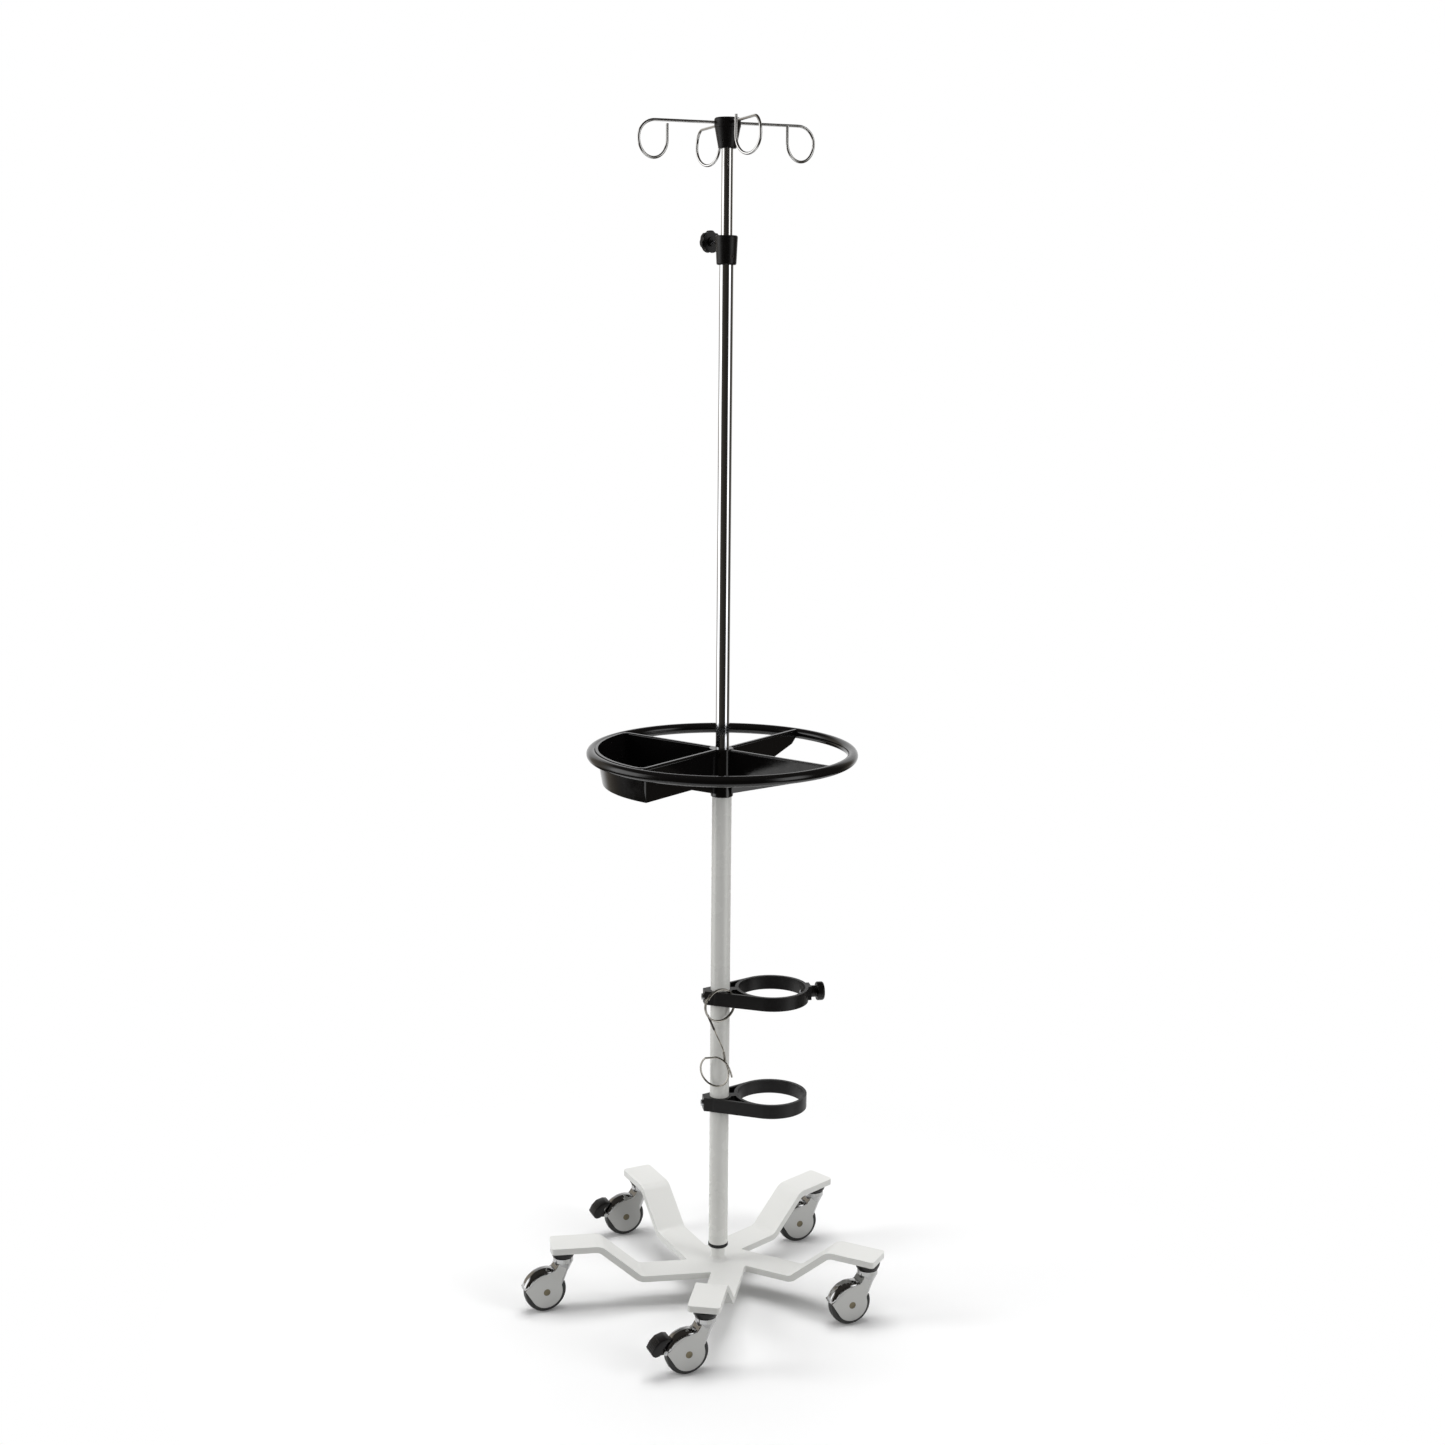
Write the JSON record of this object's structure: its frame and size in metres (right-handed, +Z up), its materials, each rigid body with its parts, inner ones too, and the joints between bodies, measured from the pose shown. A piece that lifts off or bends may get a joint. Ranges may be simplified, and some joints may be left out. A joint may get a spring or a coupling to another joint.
{
  "type": "mobile infusion stand",
  "caption": "Wheeled infusion stand: bent-bar star base on swivel casters, telescopic pole with looped hooks, hand ring with bin, and two ring holders for a gas cylinder.",
  "frame": {"origin": "on the floor under the pole's axis", "axes": "+Z up along the pole, +X to the picture's right, +Y away from its viewer"},
  "size_m": [0.6766, 0.6394, 2.162],
  "materials": {
    "white_powder_coat": "smooth satin powder coat",
    "white_tube_coat": "gloss powder coat",
    "bright_chrome": "bright plated",
    "polished_stainless": "polished",
    "zinc_steel": "zinc plated",
    "black_rubber": "matt",
    "bush_nylon": "satin",
    "gloss_black_moulding": "gloss",
    "satin_black_plastic": "satin",
    "caster_housing_plate": "satin chrome plate",
    "axle_brass_plate": "dull plated",
    "wheel_core_plastic": "satin",
    "caster_tyre": "matt rubber",
    "tether_steel": "dulled steel",
    "dark_sleeve": "matt"
  },
  "bodies": {
    "stand": {"base_star": "white_powder_coat", "base_spigot": "white_powder_coat", "base_washer": "zinc_steel", "base_bolt": "zinc_steel", "foot_ring": "black_rubber", "lower_tube": "white_tube_coat", "joint_bush": "bush_nylon", "mast_tube": "bright_chrome", "lock_collar": "satin_black_plastic", "collar_screw": "zinc_steel", "hand_ring_tray": "gloss_black_moulding", "tray_screw": "satin_black_plastic", "lower_holder": "satin_black_plastic", "upper_holder": "satin_black_plastic", "holder_screws": "zinc_steel", "upper_key_ring": "tether_steel", "cable_sleeve": "dark_sleeve", "tether_cable": "tether_steel", "cable_crimp": "tether_steel", "lower_key_ring": "tether_steel", "caster_cups": "satin_black_plastic", "caster_stems": "zinc_steel"},
    "upper_pole": {"upper_tube": "polished_stainless", "guide_bush": "bush_nylon", "head_boss": "satin_black_plastic", "head_pin": "zinc_steel", "hook_right": "polished_stainless", "hook_back": "polished_stainless", "hook_left": "polished_stainless", "hook_front": "polished_stainless"},
    "lock_screw": {"lock_stud": "zinc_steel"},
    "lock_grip": {"lock_knob": "satin_black_plastic"},
    "cylinder_screw": {"cylinder_stud": "zinc_steel"},
    "cylinder_grip": {"cylinder_knob": "satin_black_plastic"},
    "back_right_fork": {"back_right_housing": "caster_housing_plate", "back_right_axle": "axle_brass_plate"},
    "back_right_wheel": {"back_right_hub": "wheel_core_plastic", "back_right_tyre": "caster_tyre"},
    "back_left_fork": {"back_left_housing": "caster_housing_plate", "back_left_axle": "axle_brass_plate", "back_left_pedal_pin": "zinc_steel"},
    "back_left_wheel": {"back_left_hub": "wheel_core_plastic", "back_left_tyre": "caster_tyre"},
    "back_left_brake": {"back_left_pedal": "satin_black_plastic"},
    "left_fork": {"left_housing": "caster_housing_plate", "left_axle": "axle_brass_plate"},
    "left_wheel": {"left_hub": "wheel_core_plastic", "left_tyre": "caster_tyre"},
    "front_fork": {"front_housing": "caster_housing_plate", "front_axle": "axle_brass_plate", "front_pedal_pin": "zinc_steel"},
    "front_wheel": {"front_hub": "wheel_core_plastic", "front_tyre": "caster_tyre"},
    "front_brake": {"front_pedal": "satin_black_plastic"},
    "right_fork": {"right_housing": "caster_housing_plate", "right_axle": "axle_brass_plate"},
    "right_wheel": {"right_hub": "wheel_core_plastic", "right_tyre": "caster_tyre"}
  },
  "joints": [
    {"name": "upper_pole_slide", "type": "slide", "parent": "stand", "child": "upper_pole", "axis": [0, 0, 1], "range_m": [-0.14, 0.28]},
    {"name": "lock_screw_travel", "type": "slide", "parent": "stand", "child": "lock_screw", "axis": [-0.5299, 0.848, 0], "range_m": [0, 0.002]},
    {"name": "lock_knob_turn", "type": "hinge", "parent": "lock_screw", "child": "lock_grip", "pos_m": [-0.0265, 0.0424, 1.957], "axis": [-0.5299, 0.848, 0], "range_deg": [0, 720]},
    {"name": "cylinder_screw_travel", "type": "slide", "parent": "stand", "child": "cylinder_screw", "axis": [0.9848, 0.1736, 0], "range_m": [0, 0.0075]},
    {"name": "cylinder_knob_turn", "type": "hinge", "parent": "cylinder_screw", "child": "cylinder_grip", "pos_m": [0.18219, 0.03213, 0.589], "axis": [0.9848, 0.1736, 0], "range_deg": [0, 2160]},
    {"name": "back_right_swivel", "type": "hinge", "parent": "stand", "child": "back_right_fork", "pos_m": [0.19233, 0.2291, 0.1], "axis": [0, 0, 1], "continuous": true},
    {"name": "back_right_roll", "type": "hinge", "parent": "back_right_fork", "child": "back_right_wheel", "pos_m": [0.15873, 0.21484, 0.04], "axis": [0.3907, -0.9205, 0], "continuous": true},
    {"name": "back_left_swivel", "type": "hinge", "parent": "stand", "child": "back_left_fork", "pos_m": [-0.15846, 0.25372, 0.1], "axis": [0, 0, 1], "continuous": true},
    {"name": "back_left_roll", "type": "hinge", "parent": "back_left_fork", "child": "back_left_wheel", "pos_m": [-0.19205, 0.23946, 0.04], "axis": [0.3907, -0.9205, 0], "continuous": true},
    {"name": "back_left_brake_press", "type": "hinge", "parent": "back_left_fork", "child": "back_left_brake", "pos_m": [-0.2321, 0.22246, 0.0505], "axis": [0.3907, -0.9205, 0], "range_deg": [0, 14]},
    {"name": "left_swivel", "type": "hinge", "parent": "stand", "child": "left_fork", "pos_m": [-0.29026, -0.0723, 0.1], "axis": [0, 0, 1], "continuous": true},
    {"name": "left_roll", "type": "hinge", "parent": "left_fork", "child": "left_wheel", "pos_m": [-0.32386, -0.08656, 0.04], "axis": [0.3907, -0.9205, 0], "continuous": true},
    {"name": "front_swivel", "type": "hinge", "parent": "stand", "child": "front_fork", "pos_m": [-0.02094, -0.2984, 0.1], "axis": [0, 0, 1], "continuous": true},
    {"name": "front_roll", "type": "hinge", "parent": "front_fork", "child": "front_wheel", "pos_m": [-0.05454, -0.31266, 0.04], "axis": [0.3907, -0.9205, 0], "continuous": true},
    {"name": "front_brake_press", "type": "hinge", "parent": "front_fork", "child": "front_brake", "pos_m": [-0.09458, -0.32966, 0.0505], "axis": [0.3907, -0.9205, 0], "range_deg": [0, 14]},
    {"name": "right_swivel", "type": "hinge", "parent": "stand", "child": "right_fork", "pos_m": [0.27732, -0.11212, 0.1], "axis": [0, 0, 1], "continuous": true},
    {"name": "right_roll", "type": "hinge", "parent": "right_fork", "child": "right_wheel", "pos_m": [0.24372, -0.12638, 0.04], "axis": [0.3907, -0.9205, 0], "continuous": true}
  ],
  "couplings": [
    {"joint": "lock_knob_turn", "follows": "lock_screw_travel", "rad_per_m": 6283.2},
    {"joint": "cylinder_knob_turn", "follows": "cylinder_screw_travel", "rad_per_m": 5026.5}
  ]
}
